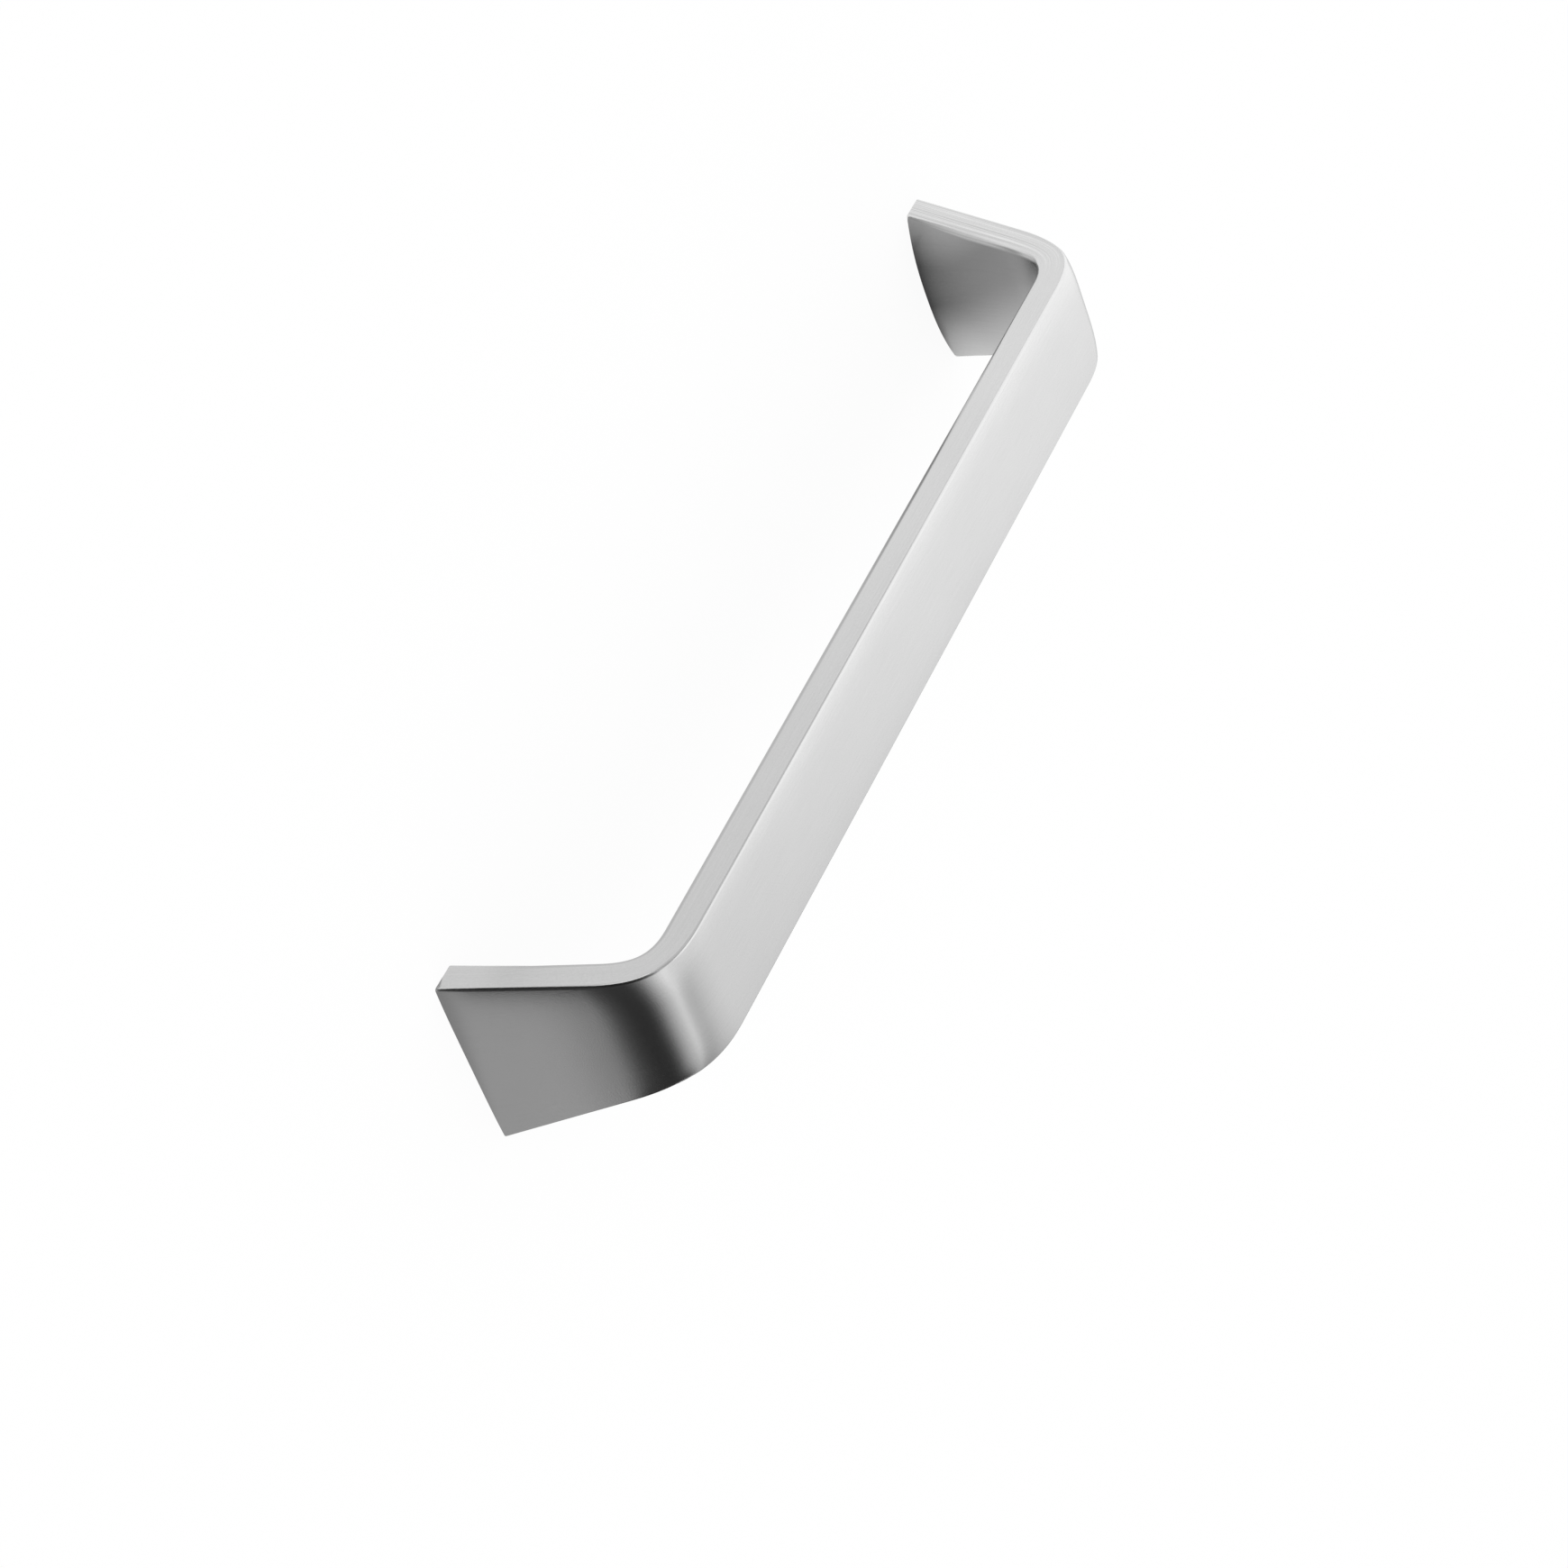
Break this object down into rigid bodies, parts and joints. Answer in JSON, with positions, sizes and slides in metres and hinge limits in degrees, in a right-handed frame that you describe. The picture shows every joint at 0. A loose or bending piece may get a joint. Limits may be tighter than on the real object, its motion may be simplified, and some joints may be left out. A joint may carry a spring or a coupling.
{
  "type": "furniture pull handle",
  "caption": "Bow-shaped satin metal pull handle for a drawer or cupboard door, one casting with flared legs and a tapped blind hole in each foot.",
  "frame": {"origin": "midway between the two feet, on the plane of the furniture that both feet stand on", "axes": "+X along the handle from screw hole to screw hole, +Y across it, +Z away from the furniture, towards the front face of the grip"},
  "size_m": [0.2028, 0.0308, 0.0339],
  "materials": {
    "satin_metal": "satin"
  },
  "bodies": {
    "root": {"handle": "satin_metal"}
  },
  "joints": []
}
